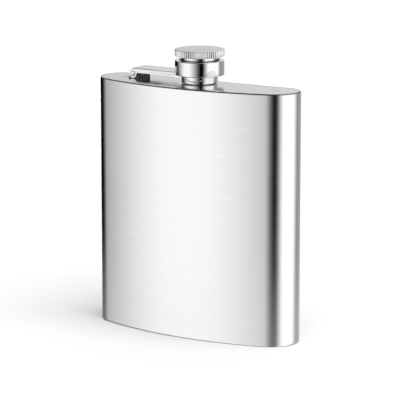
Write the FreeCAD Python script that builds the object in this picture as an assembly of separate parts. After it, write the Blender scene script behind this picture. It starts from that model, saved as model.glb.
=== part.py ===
import FreeCAD, Part
import math
import os

# Hip flask with a captive screw top. Millimetres, +Z up, front towards -Y, +X to the right.
# The origin is at the middle of the base, below the middle of the whole object's plan box.

# body
body_width = 96.0
body_depth = 25.8            # through the middle
body_height = 106.0
front_y = -14.1              # the crown of the bowed front
front_radius = 131.0         # bow of the front
back_radius = 1500.0         # the back is very slightly hollow
front_corner = 12.0
back_corner = 8.3
wall = 0.6                   # sheet of the body
plate = 0.8                  # top and base plates
edge_round = 0.4             # polished rim edges
plate_fit = 0.02             # welded joint line round each plate
dimple_x = 37.0              # pressed locating dimples in the top plate
dimple_radius = 2.6
dimple_depth = 0.18

# neck, in line with the middles of the two rounded ends
neck_y = 3.7
neck_bore = 5.0
neck_outer = 5.75
neck_crest = 6.2
neck_rise = 3.45             # rim above the top plate
neck_flange = 7.2
flange_thick = 0.8
pitch = 1.5
neck_thread_from = 0.95
neck_thread_turns = 1.25

# screw cap, heights above the top plate
cap_outer = 7.6
cap_inner = 6.9
cap_crest = 6.5
cap_bottom = 0.25
cap_ceiling = 4.35
cap_top = 5.25
cap_thread_from = 1.15
cap_thread_turns = 1.2
gasket_outer = 6.7
gasket_hole = 2.4
gasket_bottom = 3.5
gasket_thick = 0.8

# stem through the ring
stem_spacer = 2.0
stem_shank = 1.5
rivet_head = 2.0
rivet_head_thick = 0.45
stem_reach = 12.2

# captive ring and knob, heights above the top plate
ring_outer = 10.35
ring_bore = 8.4
ring_bottom = 3.5
ring_top = 9.7
ring_web_bottom = 8.05
ring_web_top = 8.75
stem_hole = 2.25
ring_chamfer = 0.35
boss_radius = 7.6
boss_bottom = 8.85
disc_radius = 10.4
disc_bottom = 11.35
disc_top = 14.35
disc_chamfer = 0.35
knurl_teeth = 68
knurl_depth = 0.3

# hinge arm, heights above the top plate
arm_half = 5.0
arm_sheet = 0.7
arm_top = 4.55
arm_bottom = 2.5
arm_end_x = -30.6
arm_fold_round = 0.4
pin_x = -30.6
pin_z = 2.2
pin_radius = 0.8
pin_hole = 0.85
pin_head = 1.1
pin_head_thick = 0.25
head_gap = 0.05
lobe_radius = 2.0
lobe_throat_x = -28.4

# hinge block welded to the top plate
block_half = 4.1
block_left_x = -29.6
block_right_x = -27.3
block_height = 3.2
block_corner = 1.1
knuckle_radius = 1.45
foot_thick = 0.5
foot_left_x = -33.2
stop_lip_thick = 0.45
stop_lip_height = 0.95

up = FreeCAD.Vector(0, 0, 1)


def vec(x, y, z=0.0):
    return FreeCAD.Vector(x, y, z)


def arc(start, middle, end):
    return Part.Arc(start, middle, end).toShape()


def cylinder(radius, bottom, top, x=0.0, y=neck_y):
    """An upright cylinder, by default on the neck's axis, between two heights above the top plate."""
    return Part.makeCylinder(radius, top - bottom, vec(x, y, body_height + bottom), up)


def cross_cylinder(radius, half_length):
    """A cylinder on the hinge pin's axis."""
    start = vec(pin_x, neck_y - half_length, body_height + pin_z)
    return Part.makeCylinder(radius, 2 * half_length, start, vec(0, 1, 0))


def box(x0, x1, y0, y1, z0, z1):
    """A box whose y values are measured from the neck's line and z values from the top plate."""
    return Part.makeBox(x1 - x0, y1 - y0, z1 - z0, vec(x0, neck_y + y0, body_height + z0))


def towards(centre, point, distance):
    """The point at a distance from the centre, in the direction of another point."""
    step = point - centre
    step.normalize()
    return centre + step * distance


def on_circle(centre, radius, direction):
    return centre + vec(radius * math.cos(direction), radius * math.sin(direction))


def footprint(inset):
    """The face of the body's plan outline, moved inwards by inset."""
    half = body_width / 2
    front_centre = vec(0, front_y + front_radius)
    back_centre = vec(0, front_y + body_depth + back_radius)
    corner_x = half - front_corner
    reach = math.sqrt((front_radius - front_corner) ** 2 - corner_x ** 2)
    front_corner_centre = vec(corner_x, front_centre.y - reach)
    corner_x = half - back_corner
    reach = math.sqrt((back_radius + back_corner) ** 2 - corner_x ** 2)
    back_corner_centre = vec(corner_x, back_centre.y - reach)

    front_end = towards(front_centre, front_corner_centre, front_radius - inset)
    back_end = towards(back_centre, back_corner_centre, back_radius + inset)
    side_front = vec(half - inset, front_corner_centre.y)
    side_back = vec(half - inset, back_corner_centre.y)
    lean = math.atan2(front_end.y - front_corner_centre.y, front_end.x - front_corner_centre.x) / 2
    front_turn = on_circle(front_corner_centre, front_corner - inset, lean)
    lean = math.atan2(back_end.y - back_corner_centre.y, back_end.x - back_corner_centre.x) / 2
    back_turn = on_circle(back_corner_centre, back_corner - inset, lean)

    def left(point):
        return vec(-point.x, point.y)

    edges = [
        arc(left(front_end), vec(0, front_y + inset), front_end),
        arc(front_end, front_turn, side_front),
        Part.makeLine(side_front, side_back),
        arc(side_back, back_turn, back_end),
        arc(back_end, vec(0, front_y + body_depth - inset), left(back_end)),
        arc(left(back_end), left(back_turn), left(side_back)),
        Part.makeLine(left(side_back), left(side_front)),
        arc(left(side_front), left(front_turn), left(front_end)),
    ]
    return Part.Face(Part.Wire(edges))


def slab(inset, bottom, top):
    """The plan outline, moved inwards, extruded between two heights above the base."""
    face = footprint(inset)
    face.translate(vec(0, 0, bottom))
    return face.extrude(vec(0, 0, top - bottom))


def body_wrap():
    """The sheet wrapped round the flask, with its two rims rounded."""
    shell = slab(0, 0, body_height)
    rims = [edge for edge in shell.Edges
            if edge.BoundBox.ZLength < 0.001 and edge.BoundBox.XLength > 0.001]
    shell = shell.makeFillet(edge_round, rims)
    return shell.cut(slab(wall, -1, body_height + 1))


def base_plate():
    return slab(wall + plate_fit, 0, plate)


def top_plate():
    """The top plate, with the neck's hole and a shallow dimple near each end."""
    sheet = slab(wall + plate_fit, body_height - plate, body_height)
    sheet = sheet.cut(cylinder(neck_outer + plate_fit, -2 * plate, plate))
    ball_radius = (dimple_radius ** 2 + dimple_depth ** 2) / (2 * dimple_depth)
    for side in (-1, 1):
        centre = vec(side * dimple_x, neck_y, body_height + ball_radius - dimple_depth)
        sheet = sheet.cut(Part.makeSphere(ball_radius, centre))
    return sheet


def thread(root, crest, start_height, turns):
    """A helical ridge on the neck's axis: outside a tube if the crest is the larger radius."""
    half_root = 0.42
    half_crest = 0.16
    path = Part.makeHelix(pitch, pitch * turns, root)
    profile = Part.makePolygon([
        vec(root, 0, -half_root),
        vec(crest, 0, -half_crest),
        vec(crest, 0, half_crest),
        vec(root, 0, half_root),
        vec(root, 0, -half_root),
    ])
    ridge = Part.Wire(path).makePipeShell([profile], True, True)
    ridge.translate(vec(0, neck_y, body_height + start_height))
    return ridge


def neck():
    """Threaded neck with a flange that is welded under the top plate."""
    tube = cylinder(neck_outer, -plate - flange_thick, neck_rise)
    tube = tube.fuse(cylinder(neck_flange, -plate - flange_thick, -plate))
    tube = tube.cut(cylinder(neck_bore, -10, 10))
    rim = [edge for edge in tube.Edges if edge.BoundBox.ZMin > body_height + neck_rise - 0.01]
    tube = tube.makeChamfer(0.2, rim)
    return tube.fuse(thread(neck_outer - 0.1, neck_crest, neck_thread_from, neck_thread_turns))


def screw_cap():
    """Skirt with an internal thread and a flat top that the stem is riveted through."""
    cup = cylinder(cap_outer, cap_bottom, cap_top)
    rims = [edge for edge in cup.Edges if edge.BoundBox.ZLength < 0.001]
    cup = cup.makeChamfer(0.2, rims)
    cup = cup.cut(cylinder(cap_inner, cap_bottom - 1, cap_ceiling))
    cup = cup.cut(cylinder(stem_shank, 0, 10))
    return cup.fuse(thread(cap_inner + 0.1, cap_crest, cap_thread_from, cap_thread_turns))


def gasket():
    """Sealing washer held in the cap, above the neck's rim."""
    top = gasket_bottom + gasket_thick
    return cylinder(gasket_outer, gasket_bottom, top).cut(cylinder(gasket_hole, 0, 10))


def cap_stem():
    """Shouldered stem: riveted over inside the cap, and pressed into the knob."""
    stem = cylinder(stem_spacer, cap_top, boss_bottom)
    stem = stem.fuse(cylinder(stem_shank, cap_ceiling - rivet_head_thick, stem_reach))
    stem = stem.fuse(cylinder(rivet_head, cap_ceiling - rivet_head_thick, cap_ceiling))
    return stem


def captive_ring():
    """Ring round the cap, with an inner web that the stem turns and slides in."""
    ring = cylinder(ring_outer, ring_bottom, ring_top)
    rims = [edge for edge in ring.Edges if edge.BoundBox.ZLength < 0.001]
    ring = ring.makeChamfer(ring_chamfer, rims)
    ring = ring.cut(cylinder(ring_bore, ring_bottom - 1, ring_web_bottom))
    ring = ring.cut(cylinder(ring_bore, ring_web_top, ring_top + 1))
    return ring.cut(cylinder(stem_hole, 0, 20))


def knurled_knob():
    """Finger disc with a toothed rim, and the boss below it."""
    points = []
    for step in range(2 * knurl_teeth):
        radius = disc_radius - knurl_depth * (step % 2)
        turn = math.pi * step / knurl_teeth
        points.append(vec(radius * math.cos(turn), neck_y + radius * math.sin(turn), body_height + disc_bottom))
    points.append(points[0])
    toothed = Part.Face(Part.makePolygon(points)).extrude(vec(0, 0, disc_top - disc_bottom))
    blank = cylinder(disc_radius, disc_bottom, disc_top)
    rims = [edge for edge in blank.Edges if edge.BoundBox.ZLength < 0.001]
    knob = toothed.common(blank.makeChamfer(disc_chamfer, rims))
    knob = knob.fuse(cylinder(boss_radius, boss_bottom, disc_bottom))
    knob = knob.cut(cylinder(stem_shank, boss_bottom - 1, stem_reach))
    return knob


def arm_side():
    """Side view of one cheek of the arm, as a face on the plane y = 0: a bar with a round lobe at the pin."""
    centre = vec(pin_x, 0, pin_z)
    corner = vec(arm_end_x, 0, arm_top)
    spread = math.acos(lobe_radius / (corner - centre).Length)
    heading = math.atan2(corner.z - centre.z, corner.x - centre.x) + spread
    tangent = centre + vec(lobe_radius * math.cos(heading), 0, lobe_radius * math.sin(heading))
    outline = Part.makePolygon([
        corner,
        vec(0, 0, arm_top),
        vec(0, 0, arm_bottom),
        vec(lobe_throat_x, 0, arm_bottom),
        centre,
        tangent,
        corner,
    ])
    return Part.Face(outline)


def hinge_arm():
    """Channel that carries the ring: a top web and two cheeks, with a lobe on each cheek round the pin."""
    side = arm_side()
    side.translate(vec(0, neck_y - arm_half, body_height))
    arm = side.extrude(vec(0, 2 * arm_half, 0))
    folds = [edge for edge in arm.Edges
             if edge.BoundBox.YLength < 0.001
             and edge.BoundBox.ZMin > body_height + arm_top - 0.01]
    arm = arm.makeFillet(arm_fold_round, folds)
    arm = arm.fuse(cross_cylinder(lobe_radius, arm_half))
    inner = arm_half - arm_sheet
    arm = arm.cut(box(-50, 0, -inner, inner, -5, arm_top - arm_sheet))
    arm = arm.cut(box(-50, arm_end_x, -inner, inner, -5, 10))
    arm = arm.cut(cross_cylinder(pin_hole, 10))
    return arm.cut(cylinder(ring_outer, -1, 20))


def hinge_block():
    """Block welded to the top plate, with the pin's knuckle, a thin foot, and a lip that stops the open arm."""
    block = box(block_left_x, block_right_x, -block_half, block_half, 0, block_height)
    corners = [edge for edge in block.Edges if edge.BoundBox.ZLength > 1]
    block = block.makeFillet(block_corner, corners)
    block = block.fuse(cross_cylinder(knuckle_radius, block_half))
    block = block.fuse(box(pin_x, block_left_x + block_corner, -block_half, block_half, 0, pin_z))
    block = block.fuse(box(foot_left_x, pin_x, -block_half, block_half, 0, foot_thick))
    lip_x = foot_left_x + stop_lip_thick
    block = block.fuse(box(foot_left_x, lip_x, -block_half, block_half, 0, stop_lip_height))
    return block.cut(cross_cylinder(pin_radius, 10))


def hinge_pin():
    """Pin riveted over at both ends, outside the arm's cheeks."""
    inside = arm_half + head_gap
    pin = cross_cylinder(pin_radius, inside + pin_head_thick)
    heads = cross_cylinder(pin_head, inside + pin_head_thick).cut(cross_cylinder(2 * pin_head, inside))
    return pin.fuse(heads)


nodes = {
    "body_wrap": body_wrap,
    "base_plate": base_plate,
    "top_plate": top_plate,
    "neck": neck,
    "hinge_block": hinge_block,
    "hinge_pin": hinge_pin,
    "hinge_arm": hinge_arm,
    "captive_ring": captive_ring,
    "gasket": gasket,
    "screw_cap": screw_cap,
    "cap_stem": cap_stem,
    "knurled_knob": knurled_knob,
}

os.makedirs("parts", exist_ok=True)
for name, make in nodes.items():
    shape = make()
    if not shape.isValid():
        raise RuntimeError(name + " is not a valid solid")
    if len(shape.Solids) != 1:
        raise RuntimeError(name + " should be one solid, not " + str(len(shape.Solids)))
    shape = shape.Solids[0]
    shape.exportStep("parts/" + name + ".step")
    limits = shape.BoundBox
    print(name, round(shape.Volume, 1), "mm3",
          [round(value, 2) for value in (limits.XMin, limits.XMax, limits.YMin, limits.YMax, limits.ZMin, limits.ZMax)])
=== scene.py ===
import math

import bmesh
import bpy
from bpy.props import FloatProperty, FloatVectorProperty, IntProperty
from mathutils import Matrix, Vector


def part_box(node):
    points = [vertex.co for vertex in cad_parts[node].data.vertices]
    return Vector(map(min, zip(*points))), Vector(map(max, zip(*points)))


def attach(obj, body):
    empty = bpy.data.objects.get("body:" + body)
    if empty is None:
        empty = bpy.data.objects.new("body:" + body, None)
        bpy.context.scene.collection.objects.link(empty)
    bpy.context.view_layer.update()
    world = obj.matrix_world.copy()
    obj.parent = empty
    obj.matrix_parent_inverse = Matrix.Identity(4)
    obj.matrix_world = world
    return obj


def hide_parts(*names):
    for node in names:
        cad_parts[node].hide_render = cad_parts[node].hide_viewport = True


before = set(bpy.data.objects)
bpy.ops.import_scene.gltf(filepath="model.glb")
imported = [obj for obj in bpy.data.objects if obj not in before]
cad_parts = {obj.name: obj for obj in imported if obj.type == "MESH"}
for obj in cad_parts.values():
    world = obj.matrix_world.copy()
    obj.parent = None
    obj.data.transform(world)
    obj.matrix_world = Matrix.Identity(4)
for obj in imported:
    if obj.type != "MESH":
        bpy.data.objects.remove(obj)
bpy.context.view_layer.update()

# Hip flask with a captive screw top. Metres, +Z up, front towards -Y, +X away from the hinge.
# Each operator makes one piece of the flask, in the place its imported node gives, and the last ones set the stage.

bl_info = {
    "name": "Hip flask",
    "version": (1, 0, 0),
    "blender": (4, 5, 0),
    "location": "View3D > Sidebar > Hip flask",
    "description": "Builds a stainless hip flask with a captive screw top, and the stage it stands on",
    "category": "Add Mesh",
}

MILLIMETRE = 0.001
UP = Vector((0, 0, 1))


def size(name, description, millimetres):
    """A length that a maker may change, given in millimetres."""
    return FloatProperty(name=name, description=description, default=millimetres * MILLIMETRE,
                         subtype="DISTANCE", unit="LENGTH", precision=5)


def share(name, description, amount):
    return FloatProperty(name=name, description=description, default=amount, subtype="FACTOR")


def tint(name, description, colour):
    return FloatVectorProperty(name=name, description=description, default=colour, size=3, subtype="COLOR")


def count(name, description, number):
    return IntProperty(name=name, description=description, default=number)


class BodySizes(bpy.types.PropertyGroup):
    """The can: the wrapped sheet and its two plates"""
    front_radius: size("Front bow", "Radius of the bowed front", 131)
    back_radius: size("Back hollow", "Radius of the slightly hollow back", 1500)
    front_corner: size("Front corner", "Radius of the two front corners", 12)
    back_corner: size("Back corner", "Radius of the two back corners", 8.3)
    wall: size("Sheet", "Thickness of the wrapped sheet", 0.6)
    rim_height: size("Rim rounding", "Height of the polished rounding of the outer rims", 0.9)
    # The band's near-black steel is painted shade and painted dark reflection along the rims, not a ground seam.
    painted_shade_band_height: size("Painted shade band", "Height of the dull band where the top seam is ground back", 0.55)
    seam_round: size("Seam rounding", "Rounding beside the welded joint line", 0.14)
    plate_fit: size("Joint line", "Width of the joint line round each plate", 0.02)
    plate_roll: size("Plate roll", "Width of the strip that rolls down to the joint line", 3.4)
    plate_drop: size("Plate drop", "How far the plate's front edge lies below its middle", 0.26)
    dimple_reach: size("Dimple place", "Distance of each locating dimple from the middle", 37)
    dimple_radius: size("Dimple radius", "Radius of a locating dimple", 2.6)
    dimple_depth: size("Dimple depth", "Depth of a locating dimple", 0.18)
    hole_fit: size("Neck fit", "Gap between the top plate's hole and the neck", 0.02)
    neck_radius: size("Neck radius", "Outside radius of the neck below its thread", 5.75)


class CapSizes(bpy.types.PropertyGroup):
    """The captive top: ring and knob"""
    ring_bore: size("Ring bore", "Radius of the ring's two bores", 8.4)
    ring_web_low: size("Web underside", "Height of the ring's web above the ring's foot", 4.55)
    ring_web_high: size("Web top", "Height of the web's upper face above the ring's foot", 5.25)
    stem_hole: size("Stem hole", "Radius of the hole for the stem", 2.25)
    ring_round: size("Ring rounding", "Rounding of the ring's rims", 0.32)
    boss_radius: size("Boss radius", "Radius of the boss under the disc", 7.6)
    disc_thickness: size("Disc thickness", "Thickness of the knurled disc", 3.0)
    knurl_teeth: count("Knurl teeth", "Teeth round the rim", 68)
    knurl_depth: size("Knurl depth", "Depth of the knurl", 0.3)
    stem_radius: size("Stem bore", "Radius of the bore for the stem", 1.5)
    stem_reach: size("Stem depth", "Depth of the stem's bore", 3.35)


class HingeSizes(bpy.types.PropertyGroup):
    """The arm, its block and its pin"""
    arm_round: size("Arm rounding", "Rounding of the pressed arm's edges", 0.16)
    block_round: size("Block rounding", "Rounding of the block's edges", 0.22)
    pin_radius: size("Pin radius", "Radius of the pin", 0.8)
    pin_head: size("Pin head", "Thickness of each riveted head", 0.25)


class StageSettings(bpy.types.PropertyGroup):
    """Camera, floor and light"""
    azimuth: FloatProperty(name="Camera azimuth", description="Turn of the camera from the front, towards the right",
                           default=math.radians(33.18), subtype="ANGLE", unit="ROTATION")
    elevation: FloatProperty(name="Camera elevation", description="Height angle of the camera",
                             default=math.radians(11.404), subtype="ANGLE", unit="ROTATION")
    distance: FloatProperty(name="Camera distance", description="Distance from the camera to the point it aims at",
                            default=0.995, subtype="DISTANCE", unit="LENGTH")
    aim: FloatVectorProperty(name="Aim", description="The point that the camera aims at",
                             default=(0.01121, -0.01312, 0.06), size=3, subtype="TRANSLATION", unit="LENGTH", precision=5)
    lens: FloatProperty(name="Lens", description="Focal length on a 36 mm sensor, in millimetres", default=216.19)
    floor_size: FloatProperty(name="Floor", description="Width of the floor", default=12.0, subtype="DISTANCE",
                              unit="LENGTH")
    floor_colour: tint("Floor colour", "Colour of the pale floor", (0.9, 0.9, 0.9))


# ---------------------------------------------------------------- shading


class Wire:
    """One shader socket, or one number, that can be used in sums."""

    def __init__(self, tree, socket):
        self.tree = tree
        self.socket = socket

    def maths(self, operation, *others):
        return self.tree.node("ShaderNodeMath", {"operation": operation}, dict(enumerate((self,) + others)))

    def reversed_maths(self, operation, other):
        return self.tree.node("ShaderNodeMath", {"operation": operation}, {0: other, 1: self})

    def __add__(self, other):
        return self.maths("ADD", other)

    __radd__ = __add__

    def __sub__(self, other):
        return self.maths("SUBTRACT", other)

    def __rsub__(self, other):
        return self.reversed_maths("SUBTRACT", other)

    def __mul__(self, other):
        return self.maths("MULTIPLY", other)

    __rmul__ = __mul__

    def __truediv__(self, other):
        return self.maths("DIVIDE", other)

    def __rtruediv__(self, other):
        return self.reversed_maths("DIVIDE", other)

    def __neg__(self):
        return self * -1.0


class ShaderTree:
    """The nodes of one material, or of the world."""

    def __init__(self, owner):
        owner.use_nodes = True
        self.nodes = owner.node_tree.nodes
        self.links = owner.node_tree.links
        self.nodes.clear()

    def node(self, kind, settings, values, output=0):
        """Adds a node: its settings first, then numbers or links for its sockets. Returns one output."""
        made = self.nodes.new(kind)
        stops = settings.pop("stops", None)
        for name, value in settings.items():
            setattr(made, name, value)
        if stops:
            ramp = made.color_ramp.elements
            while len(ramp) > 1:
                ramp.remove(ramp[0])
            ramp[0].position = stops[0][0]
            ramp[0].color = (stops[0][1],) * 3 + (1,)
            for place, level in stops[1:]:
                ramp.new(place).color = (level,) * 3 + (1,)
        for name, value in values.items():
            if isinstance(value, Wire):
                self.links.new(value.socket, made.inputs[name])
            else:
                made.inputs[name].default_value = value
        if not made.outputs:
            return made
        return Wire(self, made.outputs[output])

    def place(self, centre=(0, 0, 0), stretch=(1, 1, 1)):
        """Object coordinates, measured from a centre, then stretched."""
        coordinates = self.node("ShaderNodeTexCoord", {}, {}, "Object")
        moved = self.node("ShaderNodeMapping", {"vector_type": "POINT"},
                          {"Vector": coordinates, "Location": tuple(-value for value in centre)})
        return self.node("ShaderNodeVectorMath", {"operation": "MULTIPLY"}, {0: moved, 1: stretch})

    def noise(self, vector, scale, detail=4.0, roughness=0.55):
        return self.node("ShaderNodeTexNoise", {"noise_dimensions": "3D"},
                         {"Vector": vector, "Scale": scale, "Detail": detail, "Roughness": roughness})

    def clamp_range(self, value, low, high, to_low=0.0, to_high=1.0):
        return self.node("ShaderNodeMapRange", {"clamp": True},
                         {"Value": value, "From Min": low, "From Max": high, "To Min": to_low, "To Max": to_high})

    def soft_step(self, value, low, high):
        """0 at low, 1 at high, with a smooth change between them; low may be the larger."""
        return self.node("ShaderNodeMapRange", {"clamp": True, "interpolation_type": "SMOOTHSTEP"},
                         {"Value": value, "From Min": low, "From Max": high, "To Min": 0.0, "To Max": 1.0})

    def blend_colours(self, factor, first, second):
        mixer = self.nodes.new("ShaderNodeMix")
        mixer.data_type = "RGBA"
        for index, value in ((0, factor), (6, first), (7, second)):
            if isinstance(value, Wire):
                self.links.new(value.socket, mixer.inputs[index])
            else:
                mixer.inputs[index].default_value = value
        return Wire(self, mixer.outputs[2])

    def bump(self, height, strength, distance, normal=None):
        values = {"Height": height, "Strength": strength, "Distance": distance}
        if normal:
            values["Normal"] = normal
        return self.node("ShaderNodeBump", {}, values)


def colour(level, warmth=0.0):
    """An opaque near-grey: warmth lifts the red and lowers the blue."""
    return (level * (1 + warmth), level, level * (1 - warmth), 1.0)


def new_material(name):
    material = bpy.data.materials.new(name)
    return material, ShaderTree(material)


def metal(tree, base, roughness, normal, anisotropy=0.0, turn=0.0):
    """Closes a metal material with the principled shader."""
    surface = tree.node("ShaderNodeBsdfPrincipled", {}, {
        "Base Color": base, "Metallic": 1.0, "Roughness": roughness,
        "Normal": normal, "Anisotropic": anisotropy, "Anisotropic Rotation": turn})
    tree.node("ShaderNodeOutputMaterial", {}, {"Surface": surface})


def brushed_steel(name, light, dark, roughness, grain, depth, anisotropy=0.0, turn=0.0):
    """Brushed sheet: long fine streaks, a few deeper strokes and a faint cloudiness."""
    material, tree = new_material(name)
    fine = tree.noise(tree.place(stretch=grain), 1.0, 6.0, 0.62)
    long_strokes = tree.noise(tree.place(stretch=tuple(value * 0.23 for value in grain)), 1.0, 3.0, 0.5)
    strokes = tree.clamp_range(long_strokes, 0.56, 0.74)
    cloud = tree.noise(tree.place(), 55.0, 3.0, 0.5)
    streaks = tree.clamp_range(fine, 0.3, 0.7)
    worn = tree.clamp_range(streaks * 0.7 + strokes * 0.3 + cloud * 0.25, 0.1, 1.1)
    base = tree.blend_colours(worn, colour(dark), colour(light))
    rough = roughness + (streaks - 0.5) * 0.10 + (cloud - 0.5) * 0.06 - strokes * 0.04
    height = streaks * 0.7 + strokes * 0.5
    metal(tree, base, rough, tree.bump(height, 0.12, depth), anisotropy, turn)
    return material


def polished_steel(name, level, roughness, smudge):
    """Mirror polish: hairline scratches two ways, and faint smudges that dull it."""
    material, tree = new_material(name)
    first = tree.noise(tree.place(stretch=(5200, 900, 260)), 1.0, 2.0, 0.5)
    second = tree.noise(tree.place(stretch=(700, 260, 5600)), 1.0, 2.0, 0.5)
    hairs = tree.clamp_range(first, 0.66, 0.74) + tree.clamp_range(second, 0.67, 0.75)
    smear = tree.clamp_range(tree.noise(tree.place(), 170.0, 4.0, 0.6), 0.42, 0.72)
    base = tree.blend_colours(tree.clamp_range(smear + hairs * 0.5, 0.0, 1.5), colour(level), colour(level * 0.93))
    rough = roughness + smear * smudge + hairs * 0.05
    metal(tree, base, rough, tree.bump(hairs, 0.12, 0.000004))
    return material


def turned_steel(name, level, roughness, centre, anisotropy):
    """Faced on a lathe: fine rings round the axis, over a satin ground."""
    material, tree = new_material(name)
    flat = tree.place(centre=centre, stretch=(1, 1, 0))
    radius = tree.node("ShaderNodeVectorMath", {"operation": "LENGTH"}, {0: flat}, "Value")
    rings = tree.node("ShaderNodeTexNoise", {"noise_dimensions": "1D"},
                      {"W": radius * 5200.0, "Scale": 1.0, "Detail": 4.0, "Roughness": 0.65})
    rings = tree.clamp_range(rings, 0.32, 0.68)
    cloud = tree.noise(tree.place(), 230.0, 4.0, 0.6)
    base = tree.blend_colours(rings, colour(level * 0.9), colour(level))
    rough = roughness + (rings - 0.5) * 0.10 + (cloud - 0.5) * 0.10
    metal(tree, base, rough, tree.bump(rings, 0.3, 0.000012), anisotropy)
    return material


def gasket_silicone(name):
    """Translucent white washer with a dull moulded skin."""
    material, tree = new_material(name)
    grain = tree.noise(tree.place(), 2600.0, 3.0, 0.6)
    cloud = tree.noise(tree.place(), 300.0, 2.0, 0.5)
    base = tree.blend_colours(cloud, (0.78, 0.78, 0.74, 1), (0.86, 0.86, 0.83, 1))
    surface = tree.node("ShaderNodeBsdfPrincipled", {}, {
        "Base Color": base, "Roughness": 0.45 + (grain - 0.5) * 0.2, "IOR": 1.41, "Transmission Weight": 0.25,
        "Normal": tree.bump(grain, 0.2, 0.00002)})
    tree.node("ShaderNodeOutputMaterial", {}, {"Surface": surface})
    return material


# ---------------------------------------------------------------- modelling


def finish_piece(mesh, name, body, slot, materials, *replaced):
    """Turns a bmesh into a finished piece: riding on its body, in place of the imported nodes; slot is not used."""
    bmesh.ops.remove_doubles(mesh, verts=mesh.verts, dist=0.000001)
    bmesh.ops.recalc_face_normals(mesh, faces=mesh.faces)
    if any(not edge.is_manifold for edge in mesh.edges):
        print("open edges in", name, sum(1 for edge in mesh.edges if not edge.is_manifold))
    data = bpy.data.meshes.new(name)
    mesh.to_mesh(data)
    mesh.free()
    data.shade_smooth()
    data.set_sharp_from_angle(angle=math.radians(32))
    for material in materials:
        data.materials.append(material)
    piece = bpy.data.objects.new(name, data)
    bpy.context.scene.collection.objects.link(piece)
    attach(piece, body)
    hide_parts(*replaced)
    return piece


def line(mesh, points, closed=False):
    """A chain of edges through a few points. Returns its vertices and edges."""
    verts = [mesh.verts.new(point) for point in points]
    ends = list(zip(verts, verts[1:])) + ([(verts[-1], verts[0])] if closed else [])
    return verts + [mesh.edges.new(pair) for pair in ends]


def round_points(mesh, chain, radii):
    """Rounds a chain's corners. radii gives one radius for each vertex, 0 for a sharp one."""
    verts = [item for item in chain if isinstance(item, bmesh.types.BMVert)]
    for vert, radius in zip(verts, radii):
        if radius > 0:
            first, second = [edge.other_vert(vert).co - vert.co for edge in vert.link_edges]
            bmesh.ops.bevel(mesh, geom=[vert], affect="VERTICES", offset_type="OFFSET", segments=4, profile=0.5,
                            material=-1, offset=radius / math.tan(first.angle(second) / 2))


def chain_of(mesh):
    return list(mesh.verts) + list(mesh.edges)


def turned(points, radii, axis_point, steps, axis=UP, closed=False):
    """A shape turned on a lathe. points are (radius, height); radii round its corners."""
    mesh = bmesh.new()
    side = Vector((1, 0, 0))
    places = [Vector(axis_point) + side * radius + axis * height for radius, height in points]
    round_points(mesh, line(mesh, places, closed), radii)
    bmesh.ops.spin(mesh, geom=chain_of(mesh), cent=axis_point, axis=axis, dvec=(0, 0, 0), angle=math.tau,
                   steps=steps, use_merge=True)
    return mesh


class Plan:
    """The can's outline from above: tangent arcs round the right half, mirrored to the left."""

    def __init__(self, sizes):
        low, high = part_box("body_wrap")
        self.front_y = low.y
        reach = sizes.front_radius - sizes.front_corner
        corner_x = high.x - sizes.front_corner
        self.front_turn = math.asin(corner_x / reach)
        self.front_axis = (0, low.y + sizes.front_radius, 0)
        self.corner_axis = (corner_x, self.front_axis[1] - reach * math.cos(self.front_turn), 0)
        reach = sizes.back_radius + sizes.back_corner
        corner_x = high.x - sizes.back_corner
        self.back_turn = math.asin(corner_x / reach)
        self.back_corner_axis = (corner_x, high.y - sizes.back_corner, 0)
        self.back_axis = (0, self.back_corner_axis[1] + reach * math.cos(self.back_turn), 0)

    def sweep(self, mesh, points, radii, closed):
        """Carries a wall's section, given as (inset, height), all the way round."""
        chain = line(mesh, [(0, self.front_y + inset, height) for inset, height in points], closed)
        round_points(mesh, chain, radii)
        section = chain_of(mesh)
        for centre, angle, steps in ((self.front_axis, self.front_turn, 24),
                                     (self.corner_axis, math.pi / 2 - self.front_turn, 24)):
            section = self.turn(mesh, section, centre, angle, steps)
        grown = bmesh.ops.extrude_edge_only(
            mesh, edges=[item for item in section if isinstance(item, bmesh.types.BMEdge)])["geom"]
        moved = [item for item in grown if isinstance(item, bmesh.types.BMVert)]
        bmesh.ops.translate(mesh, verts=moved, vec=(0, self.back_corner_axis[1] - self.corner_axis[1], 0))
        section = moved + [item for item in grown if isinstance(item, bmesh.types.BMEdge)
                           and all(vert in moved for vert in item.verts)]
        section = self.turn(mesh, section, self.back_corner_axis, math.pi / 2 + self.back_turn, 24)
        self.turn(mesh, section, self.back_axis, -self.back_turn, 12)
        bmesh.ops.mirror(mesh, geom=mesh.verts[:] + mesh.edges[:] + mesh.faces[:], matrix=Matrix.Identity(4),
                         merge_dist=0.000002, axis="X")
        bmesh.ops.remove_doubles(mesh, verts=mesh.verts, dist=0.000002)

    def turn(self, mesh, section, centre, angle, steps):
        return bmesh.ops.spin(mesh, geom=section, cent=centre, axis=UP, dvec=(0, 0, 0), angle=angle,
                              steps=steps)["geom_last"]


def level_boundary(mesh, height):
    """The open edges that lie at one height."""
    return [edge for edge in mesh.edges
            if edge.is_boundary and all(abs(vert.co.z - height) < 0.000002 for vert in edge.verts)]


def softened_copy(node, rounding):
    """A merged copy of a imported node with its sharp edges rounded."""
    mesh = bmesh.new()
    mesh.from_mesh(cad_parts[node].data)
    bmesh.ops.remove_doubles(mesh, verts=mesh.verts, dist=0.000001)
    bmesh.ops.dissolve_limit(mesh, angle_limit=math.radians(1), verts=mesh.verts, edges=mesh.edges)
    sharp = [edge for edge in mesh.edges if edge.is_manifold and edge.calc_face_angle() > math.radians(38)]
    bmesh.ops.bevel(mesh, geom=sharp, affect="EDGES", offset=rounding, segments=3, profile=0.5, material=-1,
                    clamp_overlap=True)
    return mesh


# ---------------------------------------------------------------- operators


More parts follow.
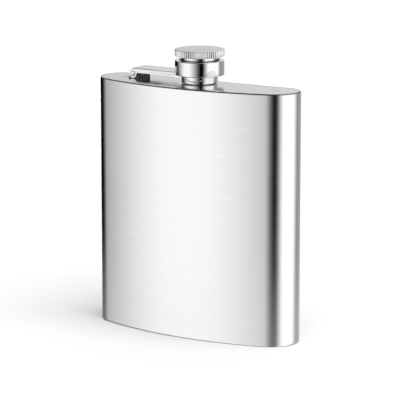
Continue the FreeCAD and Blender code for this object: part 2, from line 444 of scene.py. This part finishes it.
class MakeBody(bpy.types.Operator):
    """Wrap the sheet round the plan and round its rims"""
    bl_idname = "flask.make_body"
    bl_label = "Body"

    def execute(self, context):
        sizes = context.scene.flask_body
        low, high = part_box("body_wrap")
        mesh = bmesh.new()
        rim, depth = sizes.rim_height, sizes.wall - sizes.seam_round
        curve = [(depth * (1 - math.cos(angle)), rim * (1 - math.sin(angle)))
                 for angle in (math.radians(15 * step) for step in range(7))]
        outside = [(inset, low.z + drop) for inset, drop in reversed(curve)]
        outside += [(inset, high.z - drop) for inset, drop in curve]
        Plan(sizes).sweep(mesh, outside + [(sizes.wall, high.z), (sizes.wall, low.z)],
                          (0,) * len(outside) + (sizes.seam_round * 0.9,) * 2, closed=True)
        steel = brushed_steel("Brushed body steel", 0.93, 0.86, 0.22, (45, 45, 4200), 0.000008, 0.7, 0.25)
        # Near-black steel for the wall's top and bottom bands: painted shade and painted dark reflection along the
        # rims.
        painted_shade_band_steel = brushed_steel("Painted shade band steel", 0.3, 0.2, 0.26, (600, 600, 600), 0.000006, 0.3, 0.0)
        for face in mesh.faces:
            height = face.calc_center_median().z
            face.material_index = int(height > high.z - sizes.painted_shade_band_height or height < low.z + sizes.painted_shade_band_height / 2)
        finish_piece(mesh, "flask_shell", "flask", "body_steel", [steel, painted_shade_band_steel], "body_wrap")
        return {"FINISHED"}


class MakeTopPlate(bpy.types.Operator):
    """Press the top plate, with its dimples and the neck's hole"""
    bl_idname = "flask.make_top_plate"
    bl_label = "Top plate"

    def execute(self, context):
        sizes = context.scene.flask_body
        low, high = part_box("top_plate")
        inset = sizes.wall + sizes.plate_fit
        drop, roll = sizes.plate_drop, sizes.plate_roll
        mesh = bmesh.new()
        Plan(sizes).sweep(mesh, [(inset, low.z), (inset, high.z - drop), (inset + roll * 0.35, high.z - drop * 0.45),
                                 (inset + roll * 0.7, high.z - drop * 0.1), (inset + roll, high.z)],
                          (0, 0.00012, 0.0008, 0.0008, 0), closed=False)
        for vert in mesh.verts:
            if vert.co.z > low.z + drop:
                front_share = min(max((high.y - vert.co.y) / (high.y - low.y) * 1.6 - 0.3, 0.15), 1)
                vert.co.z = high.z - (high.z - vert.co.z) * front_share
        axis_x, axis_y = neck_axis()
        hole = sizes.neck_radius + sizes.hole_fit
        lining = turned([(hole, high.z), (hole, low.z)], (0, 0), (axis_x, axis_y, 0), 64)
        join(mesh, lining)
        ball = (sizes.dimple_radius ** 2 + sizes.dimple_depth ** 2) / (2 * sizes.dimple_depth)
        half_angle = math.asin(sizes.dimple_radius / ball)
        for side in (-1, 1):
            points = [(ball * math.sin(half_angle * step / 4), high.z + (ball - sizes.dimple_depth)
                       - ball * math.cos(half_angle * step / 4)) for step in range(5)]
            join(mesh, turned(points, (0,) * 5, (side * sizes.dimple_reach, axis_y, 0), 40))
        for height in (high.z, low.z):
            bmesh.ops.triangle_fill(mesh, use_beauty=True, edges=level_boundary(mesh, height))
        steel = brushed_steel("Satin plate steel", 0.8, 0.74, 0.16, (600, 45, 600), 0.000003, 0.3, 0.0)
        finish_piece(mesh, "top_plate_sheet", "flask", "plate_steel", [steel], "top_plate")
        return {"FINISHED"}


class MakeBasePlate(bpy.types.Operator):
    """Press the base plate"""
    bl_idname = "flask.make_base_plate"
    bl_label = "Base plate"

    def execute(self, context):
        sizes = context.scene.flask_body
        low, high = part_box("base_plate")
        inset = sizes.wall + sizes.plate_fit
        mesh = bmesh.new()
        Plan(sizes).sweep(mesh, [(inset, high.z), (inset, low.z)], (0, 0), closed=False)
        for height in (high.z, low.z):
            bmesh.ops.triangle_fill(mesh, use_beauty=True, edges=level_boundary(mesh, height))
        steel = brushed_steel("Satin base steel", 0.78, 0.72, 0.26, (30, 2600, 600), 0.000006, 0.5, 0.0)
        finish_piece(mesh, "base_plate_sheet", "flask", "plate_steel", [steel], "base_plate")
        return {"FINISHED"}


class MakeHinge(bpy.types.Operator):
    """Make the hinge block, the pressed arm and the riveted pin"""
    bl_idname = "flask.make_hinge"
    bl_label = "Hinge"

    def execute(self, context):
        sizes = context.scene.flask_hinge
        # Near-black base on the stainless block: painted shade and painted dark reflection.
        painted_dark_hinge_steel = polished_steel("Hinge steel with painted shade", 0.09, 0.05, 0.05)
        finish_piece(softened_copy("hinge_block", sizes.block_round), "hinge_block_polished", "flask",
                     "hinge_steel", [painted_dark_hinge_steel], "hinge_block")
        arm_steel = brushed_steel("Satin arm steel", 0.88, 0.82, 0.3, (60, 2400, 2400), 0.000004, 0.4, 0.0)
        finish_piece(softened_copy("hinge_arm", sizes.arm_round), "arm_channel", "arm", "arm_steel", [arm_steel],
                     "hinge_arm")
        low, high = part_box("hinge_pin")
        middle = (low + high) / 2
        head = (high.z - low.z) / 2
        reach = (high.y - low.y) / 2
        shank = reach - sizes.pin_head
        points = [(0, -reach), (head, -reach), (head, -shank), (sizes.pin_radius, -shank),
                  (sizes.pin_radius, shank), (head, shank), (head, reach), (0, reach)]
        crown = sizes.pin_head * 0.8
        mesh = turned(points, (0, crown, 0, 0, 0, 0, crown, 0), middle, 48, axis=Vector((0, 1, 0)))
        finish_piece(mesh, "hinge_pin_riveted", "flask", "hinge_steel", [arm_steel], "hinge_pin")
        return {"FINISHED"}


class MakeRing(bpy.types.Operator):
    """Turn the ring that the top hangs in"""
    bl_idname = "flask.make_ring"
    bl_label = "Captive ring"

    def execute(self, context):
        sizes = context.scene.flask_cap
        low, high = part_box("captive_ring")
        outer = (high.x - low.x) / 2
        axis_x, axis_y = neck_axis()
        web_low, web_high = low.z + sizes.ring_web_low, low.z + sizes.ring_web_high
        points = [(outer, low.z), (outer, high.z), (sizes.ring_bore, high.z), (sizes.ring_bore, web_high),
                  (sizes.stem_hole, web_high), (sizes.stem_hole, web_low), (sizes.ring_bore, web_low),
                  (sizes.ring_bore, low.z)]
        edge = sizes.ring_round
        mesh = turned(points, (edge, edge, edge * 0.5, 0, 0.0001, 0.0001, 0, edge * 0.5), (axis_x, axis_y, 0), 128,
                      closed=True)
        # The bore's faces above the web get near-black steel: painted shade inside the ring's recess.
        for face in mesh.faces:
            middle = face.calc_center_median()
            reach = (middle.xy - Vector((axis_x, axis_y))).length
            face.material_index = int(reach < sizes.ring_bore + edge * 0.5 and middle.z > web_low)
        painted_shade_bore_steel = turned_steel("Bore steel with painted shade", 0.1, 0.4, (axis_x, axis_y, 0), 0.0)
        finish_piece(mesh, "captive_ring_turned", "arm", "polished_steel", [mirror_steel(), painted_shade_bore_steel],
                     "captive_ring")
        return {"FINISHED"}


class MakeKnob(bpy.types.Operator):
    """Turn the disc and its boss, then knurl the rim"""
    bl_idname = "flask.make_knob"
    bl_label = "Knurled knob"

    def execute(self, context):
        sizes = context.scene.flask_cap
        low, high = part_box("knurled_knob")
        outer = (high.x - low.x) / 2
        axis_x, axis_y = neck_axis()
        top, under, foot = high.z, high.z - sizes.disc_thickness, low.z
        mm = MILLIMETRE
        points = [(0, top - 0.2 * mm), (1.0 * mm, top - 0.16 * mm), (1.7 * mm, top - 0.03 * mm), (2.2 * mm, top),
                  (outer - 1.25 * mm, top), (outer - 1.1 * mm, top - 0.13 * mm), (outer - 0.95 * mm, top),
                  (outer - 0.5 * mm, top), (outer - 0.24 * mm, top - 0.1 * mm), (outer, top - 0.42 * mm),
                  (outer, under + 0.42 * mm), (outer - 0.24 * mm, under + 0.1 * mm), (outer - 0.55 * mm, under),
                  (sizes.boss_radius, under), (sizes.boss_radius, foot), (sizes.stem_radius, foot),
                  (sizes.stem_radius, foot + sizes.stem_reach), (0, foot + sizes.stem_reach)]
        radii = [0] * len(points)
        radii[14] = 0.2 * mm
        steps = sizes.knurl_teeth * 6
        mesh = turned(points, radii, (axis_x, axis_y, 0), steps)
        bmesh.ops.remove_doubles(mesh, verts=mesh.verts, dist=0.000001)
        flanks, roots = [], []
        for vert in mesh.verts:
            out = vert.co.xy - Vector((axis_x, axis_y))
            if out.length > outer - 0.05 * mm:
                column = round(math.atan2(out.y, out.x) / math.tau * steps) % 6
                if column in (3, 4):
                    roots.append(vert)
                elif column in (2, 5):
                    flanks.append(vert)
        for verts, depth in ((roots, sizes.knurl_depth), (flanks, sizes.knurl_depth / 2)):
            scale = (outer - depth) / outer
            bmesh.ops.scale(mesh, vec=(scale, scale, 1), verts=verts,
                            space=Matrix.Translation((-axis_x, -axis_y, 0)))
        for face in mesh.faces:
            reach = (face.calc_center_median().xy - Vector((axis_x, axis_y))).length
            face.material_index = int(reach > outer - 0.6 * mm or face.calc_center_median().z < under + 0.01 * mm)
        steel = turned_steel("Turned knob steel", 0.8, 0.24, (axis_x, axis_y, 0), 0.2)
        rim_steel = polished_steel("Knurled rim steel", 0.8, 0.09, 0.05)
        finish_piece(mesh, "knurled_knob_turned", "cap", "knob_steel", [steel, rim_steel], "knurled_knob")
        return {"FINISHED"}


class FinishPackedNodes(bpy.types.Operator):
    """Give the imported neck, cap, stem and washer their finishes"""
    bl_idname = "flask.finish_packed_nodes"
    bl_label = "Neck, cap, stem and washer"

    def execute(self, context):
        axis_x, axis_y = neck_axis()
        finishes = {
            "neck": turned_steel("Turned neck steel", 0.8, 0.2, (axis_x, axis_y, 0), 0.3),
            "screw_cap": mirror_steel(),
            "cap_stem": mirror_steel(),
            "gasket": gasket_silicone("Washer silicone"),
        }
        for node, material in finishes.items():
            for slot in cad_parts[node].material_slots:
                slot.material = material
        return {"FINISHED"}


class SetStage(bpy.types.Operator):
    """Lay the floor, hang the lights and place the camera"""
    bl_idname = "flask.set_stage"
    bl_label = "Stage"

    def execute(self, context):
        settings = context.scene.flask_stage
        context.scene.view_settings.view_transform = "Standard"
        lay_floor(settings)
        light_studio(context.scene)
        place_camera(context.scene, settings)
        return {"FINISHED"}


def neck_axis():
    low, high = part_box("knurled_knob")
    return (low.x + high.x) / 2, (low.y + high.y) / 2


def mirror_steel():
    name = "Mirror-polished steel"
    return bpy.data.materials.get(name) or polished_steel(name, 0.86, 0.035, 0.035)


def join(mesh, part):
    """Adds one bmesh to another."""
    data = bpy.data.meshes.new("part")
    part.to_mesh(data)
    part.free()
    mesh.from_mesh(data)
    bpy.data.meshes.remove(data)
    bmesh.ops.remove_doubles(mesh, verts=mesh.verts, dist=0.000001)


# ---------------------------------------------------------------- stage

# The soft boxes round the flask: direction of the middle, in degrees from the front towards the right, half width,
# width of the soft edge, and brightness.
SOFT_BOXES = (
    ("left soft box", -30, 5, 65, 1.1),
    ("right soft box", 100, 20, 35, 1.2),
    ("back wall", 180, 15, 30, 0.4),
)
# A card behind the flask, above the horizon only, that the level faces mirror.
BACK_CARD = ("back card", -147, 12, 15, 0.6)
# Elevation in degrees where the soft boxes start to fade, and where they end.
BOX_TOP = (14, 26)
# Above them: a dark flag in front, and even light at the sides, behind and overhead.
FLAG = ("dark flag", -16, 66, 18, 1.0)
FLAG_TOP = (70, 78)
FLAG_LEVEL = 0.06
OVERHEAD_LEVEL = 0.75
# Even light from all round, which falls on the floor only.
ROOM_LIGHT = 0.46


def light_studio(scene):
    """A world that is a ring of soft boxes and flags, white to the camera itself, and one soft lamp."""
    world = bpy.data.worlds.new("Studio")
    scene.world = world
    tree = ShaderTree(world)
    direction = tree.node("ShaderNodeTexCoord", {}, {}, "Generated")
    split = tree.nodes.new("ShaderNodeSeparateXYZ")
    tree.links.new(direction.socket, split.inputs[0])
    x, y, z = [Wire(tree, split.outputs[index]) for index in range(3)]
    heading = x.maths("ARCTAN2", -y) * math.degrees(1)
    height = z.maths("ARCSINE") * math.degrees(1)

    def soft_box(middle, half_width, edge, level):
        away = (heading - middle).maths("WRAP", 180.0, -180.0).maths("ABSOLUTE")
        return tree.soft_step(away, half_width + edge, half_width) * level

    boxes = sum((soft_box(*box[1:]) for box in SOFT_BOXES[1:]), soft_box(*SOFT_BOXES[0][1:]))
    card = soft_box(*BACK_CARD[1:]) * tree.soft_step(height, 0, 5)
    reach = tree.soft_step(height, BOX_TOP[1], BOX_TOP[0])
    flag = soft_box(*FLAG[1:]) * tree.soft_step(height, FLAG_TOP[1], FLAG_TOP[0])
    high = flag * FLAG_LEVEL + (1 - flag) * OVERHEAD_LEVEL
    glow = (boxes + card) * reach + high * (1 - reach)
    seen = tree.node("ShaderNodeLightPath", {}, {}, "Is Camera Ray")
    spread = tree.node("ShaderNodeLightPath", {}, {}, "Is Diffuse Ray")
    glow = tree.blend_colours(spread, glow, (ROOM_LIGHT, ROOM_LIGHT, ROOM_LIGHT, 1))
    final = tree.blend_colours(seen, glow, (1, 1, 1, 1))
    background = tree.node("ShaderNodeBackground", {}, {"Color": final, "Strength": 1.0})
    tree.node("ShaderNodeOutputWorld", {}, {"Surface": background})

    lamp = bpy.data.lights.new("Soft lamp", "SUN")
    lamp.angle = math.radians(50)
    lamp.energy = 2.4
    lamp_object = bpy.data.objects.new("Soft lamp", lamp)
    lamp_object.rotation_euler = Vector((0.5, -0.25, 1.2)).to_track_quat("Z", "Y").to_euler()
    lamp_object.visible_glossy = False
    scene.collection.objects.link(lamp_object)


# Strength of a painted reflection of the table's white in the steel near the flask, and how far away it has died
# out, in metres.
PAINTED_FLOOR_REFLECTION = 0.22
PAINTED_FLOOR_REFLECTION_REACH = 0.25


def lay_floor(settings):
    mesh = bmesh.new()
    bmesh.ops.create_grid(mesh, x_segments=4, y_segments=4, size=settings.floor_size / 2)
    data = bpy.data.meshes.new("floor")
    mesh.to_mesh(data)
    mesh.free()
    floor = bpy.data.objects.new("floor", data)
    bpy.context.scene.collection.objects.link(floor)
    material, tree = new_material("Pale floor")
    mottle = tree.noise(tree.place(), 3.0, 2.0, 0.5)
    base = tree.blend_colours(mottle, tuple(value * 0.985 for value in settings.floor_colour) + (1,),
                              tuple(settings.floor_colour) + (1,))
    surface = tree.node("ShaderNodeBsdfPrincipled", {}, {
        "Base Color": base, "Roughness": 0.9, "Specular IOR Level": 0.0})
    tree.node("ShaderNodeOutputMaterial", {}, {"Surface": surface})
    data.materials.append(material)
    floor.visible_glossy = False

    # An emitting disc seen only in reflections: a painted reflection of the floor's white, strongest near the flask.
    mesh = bmesh.new()
    bmesh.ops.create_circle(mesh, cap_ends=True, segments=64, radius=0.5)
    bmesh.ops.translate(mesh, verts=mesh.verts, vec=(0, 0, 0.0002))
    data = bpy.data.meshes.new("painted_floor_reflection")
    mesh.to_mesh(data)
    mesh.free()
    card = bpy.data.objects.new("painted_floor_reflection", data)
    bpy.context.scene.collection.objects.link(card)
    material, tree = new_material("Painted floor reflection")
    reach = tree.node("ShaderNodeVectorMath", {"operation": "LENGTH"}, {0: tree.place(stretch=(1, 1, 0))}, "Value")
    near = tree.soft_step(reach, PAINTED_FLOOR_REFLECTION_REACH, 0) * PAINTED_FLOOR_REFLECTION
    white = tree.node("ShaderNodeEmission", {}, {"Color": (1, 1, 1, 1), "Strength": 0.9})
    clear = tree.node("ShaderNodeBsdfTransparent", {}, {})
    mixed = tree.node("ShaderNodeMixShader", {}, {0: near, 1: clear, 2: white})
    tree.node("ShaderNodeOutputMaterial", {}, {"Surface": mixed})
    data.materials.append(material)
    card.visible_camera = False
    card.visible_diffuse = False
    card.visible_shadow = False
    card.visible_transmission = False


def place_camera(scene, settings):
    lens = bpy.data.cameras.new("Camera")
    lens.lens = settings.lens
    lens.sensor_width = 36
    lens.clip_start = 0.01
    camera = bpy.data.objects.new("Camera", lens)
    rotation = Matrix.Rotation(settings.azimuth, 4, "Z") @ Matrix.Rotation(math.pi / 2 - settings.elevation, 4, "X")
    camera.matrix_world = Matrix.Translation(settings.aim) @ rotation @ Matrix.Translation((0, 0, settings.distance))
    scene.collection.objects.link(camera)
    scene.camera = camera


class HipFlaskPanel(bpy.types.Panel):
    """Lists the flask's operators"""
    bl_idname = "VIEW3D_PT_hip_flask"
    bl_label = "Hip flask"
    bl_space_type = "VIEW_3D"
    bl_region_type = "UI"
    bl_category = "Hip flask"

    def draw(self, context):
        for operator in operators:
            self.layout.operator(operator.bl_idname)


settings_groups = {"flask_body": BodySizes, "flask_cap": CapSizes, "flask_hinge": HingeSizes,
                   "flask_stage": StageSettings}
operators = (MakeBody, MakeTopPlate, MakeBasePlate, MakeHinge, MakeRing, MakeKnob, FinishPackedNodes, SetStage)
classes = tuple(settings_groups.values()) + operators + (HipFlaskPanel,)


def register():
    for cls in classes:
        bpy.utils.register_class(cls)
    for name, group in settings_groups.items():
        setattr(bpy.types.Scene, name, bpy.props.PointerProperty(type=group))


def unregister():
    for name in settings_groups:
        delattr(bpy.types.Scene, name)
    for cls in reversed(classes):
        bpy.utils.unregister_class(cls)


def main():
    register()
    for operator in operators:
        family, action = operator.bl_idname.split(".")
        getattr(getattr(bpy.ops, family), action)()


if __name__ == "__main__":
    main()
